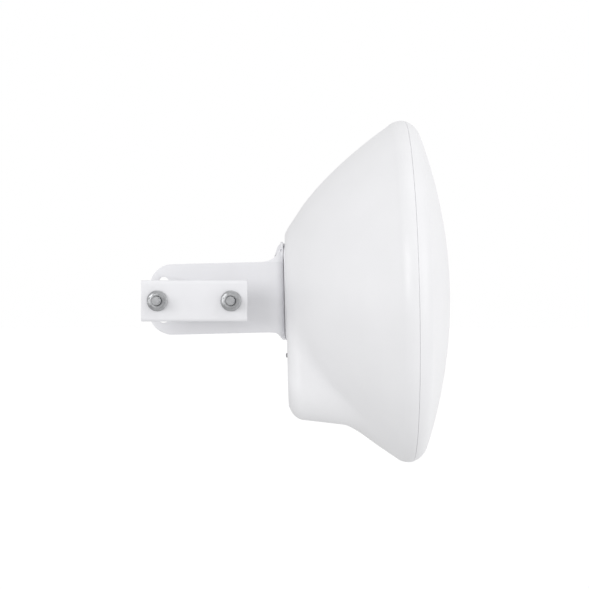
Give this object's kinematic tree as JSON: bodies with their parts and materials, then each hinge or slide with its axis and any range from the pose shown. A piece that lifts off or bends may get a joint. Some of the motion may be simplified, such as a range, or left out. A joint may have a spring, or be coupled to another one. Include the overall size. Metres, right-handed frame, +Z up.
{
  "type": "outdoor wireless bridge",
  "caption": "Domed dish radio for a point-to-point link, with an electronics bulge and port door at its rear, on a tilting bracket clamped to a round pole.",
  "frame": {"origin": "on the pole's axis, at the height of the two clamp bolts", "axes": "+Z up the pole, +X to where the dish looks when level, +Y from the pole to the bracket's arm"},
  "size_m": [0.346, 0.3929, 0.3929],
  "materials": {
    "white_asa": "moulded white ASA, fine satin gloss",
    "white_coat": "white polyester powder coat on bent steel sheet",
    "zinc_steel": "zinc-plated steel, slightly dull",
    "rubber": "moulded silicone rubber, matt",
    "spun_aluminium": "spun or turned aluminium with fine circular marks",
    "board_laminate": "green solder mask on glass laminate",
    "black_plastic": "moulded black plastic, matt",
    "brass": "turned brass",
    "cone_resin": "cross-linked polystyrene, off-white",
    "light_pipe": "clear polycarbonate"
  },
  "bodies": {
    "clamp": {"pole_clamp": "white_coat", "flange_nut_pivot": "zinc_steel", "flange_nut_slot": "zinc_steel"},
    "clamp_bolts": {"slot_bolt": "zinc_steel"},
    "head": {"bay_gasket": "rubber", "board_screw_1": "zinc_steel", "board_screw_2": "zinc_steel", "board_screw_3": "zinc_steel", "board_screw_4": "zinc_steel", "bracket_screw_1": "zinc_steel", "bracket_screw_2": "zinc_steel", "bracket_screw_3": "zinc_steel", "bracket_screw_4": "zinc_steel", "breather_vent": "black_plastic", "cable_grommet": "rubber", "dielectric_cone": "cone_resin", "ethernet_jack": "zinc_steel", "feed_tube": "spun_aluminium", "front_radome": "white_asa", "heat_sink": "spun_aluminium", "hinge_pin": "zinc_steel", "lan_transformer": "black_plastic", "led_light_pipe_1": "light_pipe", "led_light_pipe_2": "light_pipe", "led_light_pipe_3": "light_pipe", "modem_chip": "black_plastic", "mount_insert_1": "brass", "mount_insert_2": "brass", "mount_insert_3": "brass", "mount_insert_4": "brass", "pivot_bolt": "zinc_steel", "port_bay": "white_asa", "radio_board": "board_laminate", "rear_housing": "white_asa", "reflector": "spun_aluminium", "reflector_screw_1": "zinc_steel", "reflector_screw_2": "zinc_steel", "reflector_screw_3": "zinc_steel", "reflector_screw_4": "zinc_steel", "reset_switch": "black_plastic", "rim_gasket": "rubber", "shield_can": "spun_aluminium", "subreflector": "spun_aluminium", "thermal_pad": "rubber", "tilt_bracket": "white_coat", "waveguide_adapter": "spun_aluminium"},
    "door": {"port_door": "white_asa"},
    "door_lock": {"door_screw": "zinc_steel"},
    "button": {"reset_button": "black_plastic"}
  },
  "joints": [
    {"name": "clamp_grip", "type": "slide", "parent": "clamp", "child": "clamp_bolts", "axis": [0, 1, 0], "range_m": [-0.0115, 0.012]},
    {"name": "elevation", "type": "hinge", "parent": "clamp_bolts", "child": "head", "pos_m": [0.04035, 0.02415, 0], "axis": [0, -1, 0], "range_deg": [-11.5, 13]},
    {"name": "door_swing", "type": "hinge", "parent": "head", "child": "door", "pos_m": [0.10556, 0.07015, -0.12029], "axis": [0, -1, 0], "range_deg": [0, 95]},
    {"name": "door_lock_turn", "type": "hinge", "parent": "door", "child": "door_lock", "pos_m": [0.10206, 0.07015, -0.06326], "axis": [0.9997, 0, 0.0244], "range_deg": [0, 90]},
    {"name": "reset_press", "type": "slide", "parent": "head", "child": "button", "axis": [-0.0244, 0, 0.9997], "range_m": [0, 0.001], "stiffness_N_per_m": 400}
  ]
}
